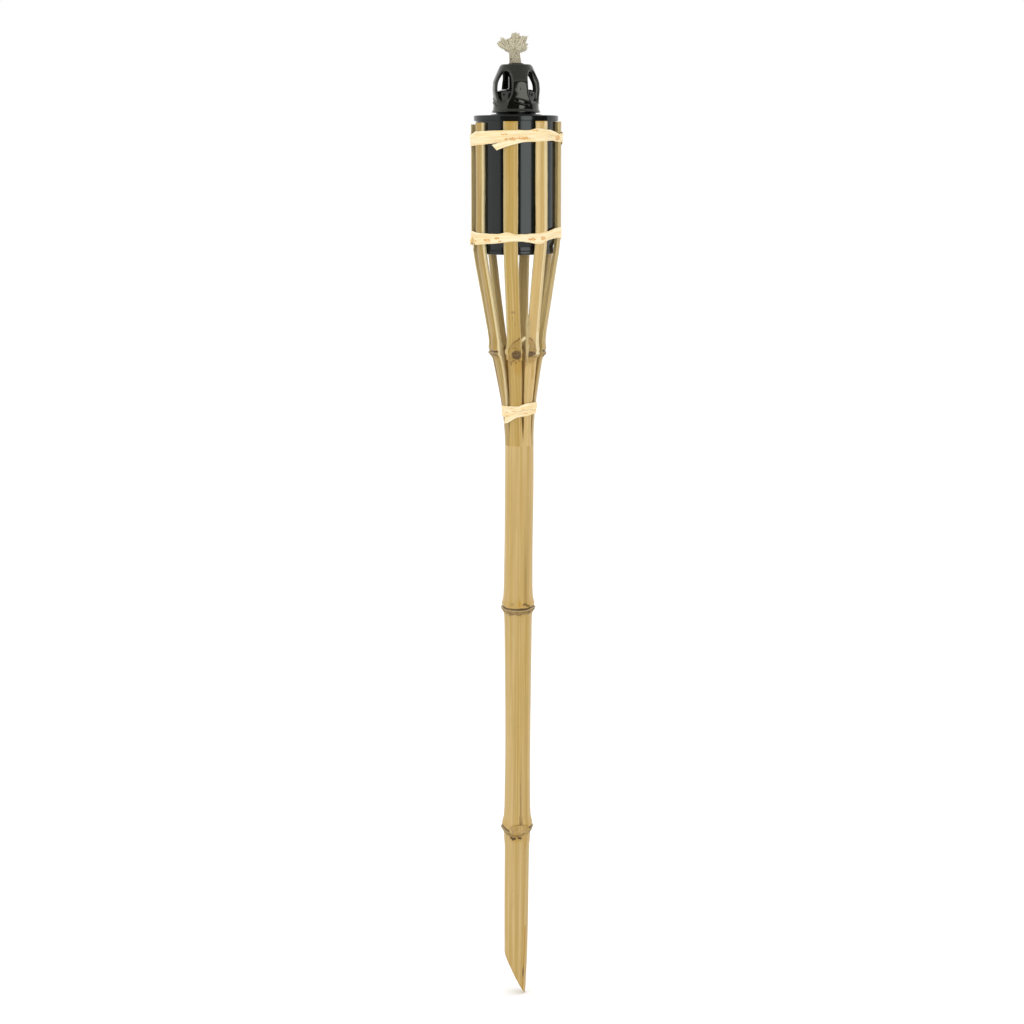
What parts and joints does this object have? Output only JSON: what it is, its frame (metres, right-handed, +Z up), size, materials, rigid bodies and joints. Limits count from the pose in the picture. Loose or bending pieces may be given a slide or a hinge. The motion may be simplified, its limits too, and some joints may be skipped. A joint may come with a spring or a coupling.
{
  "type": "tiki torch",
  "caption": "Garden torch: a pointed bamboo pole split at the top into a slatted basket round a lamp-oil can with a screw-on windowed burner and wick.",
  "frame": {"origin": "on the axis of the stake at the soil line, 91 mm above the tip of the pole", "axes": "+Z up along the pole, -Y towards the front of the basket, +X to the right"},
  "size_m": [0.0549, 0.0549, 0.5994],
  "materials": {
    "bamboo": "natural bamboo skin, satin",
    "split_bamboo": "split bamboo, satin skin and matte sawn faces",
    "raffia": "dry raffia strip, matte",
    "black_enamel": "gloss black enamel on tinplate",
    "burner_enamel": "gloss black enamel on pressed steel",
    "tinplate": "bare tinplate",
    "gasket_rubber": "matte",
    "wick_cotton": "braided cotton, undyed"
  },
  "bodies": {
    "basket": {"bamboo_pole": "bamboo", "slat_1": "split_bamboo", "slat_2": "split_bamboo", "slat_3": "split_bamboo", "slat_4": "split_bamboo", "slat_5": "split_bamboo", "slat_6": "split_bamboo", "slat_7": "split_bamboo", "slat_8": "split_bamboo", "raffia_tie_upper": "raffia", "raffia_tie_lower": "raffia", "raffia_tie_neck": "raffia"},
    "canister": {"can_body": "black_enamel", "can_base": "black_enamel", "can_lid": "black_enamel", "filler_neck": "tinplate"},
    "seal": {"neck_gasket": "gasket_rubber"},
    "burner": {"burner_cap": "burner_enamel", "burner_plate": "burner_enamel", "wick_tube": "burner_enamel"},
    "wick": {"wick": "wick_cotton"}
  },
  "joints": [
    {"name": "canister_lift", "type": "slide", "parent": "basket", "child": "canister", "axis": [0, 0, 1], "range_m": [0, 0.1]},
    {"name": "burner_lift", "type": "slide", "parent": "canister", "child": "seal", "axis": [0, 0, 1], "range_m": [0, 0.1]},
    {"name": "cap_turn", "type": "hinge", "parent": "seal", "child": "burner", "pos_m": [0, 0, 0.4673], "axis": [0, 0, 1], "range_deg": [0, 540]},
    {"name": "wick_feed", "type": "slide", "parent": "burner", "child": "wick", "axis": [0, 0, 1], "range_m": [-0.005, 0.04]}
  ]
}
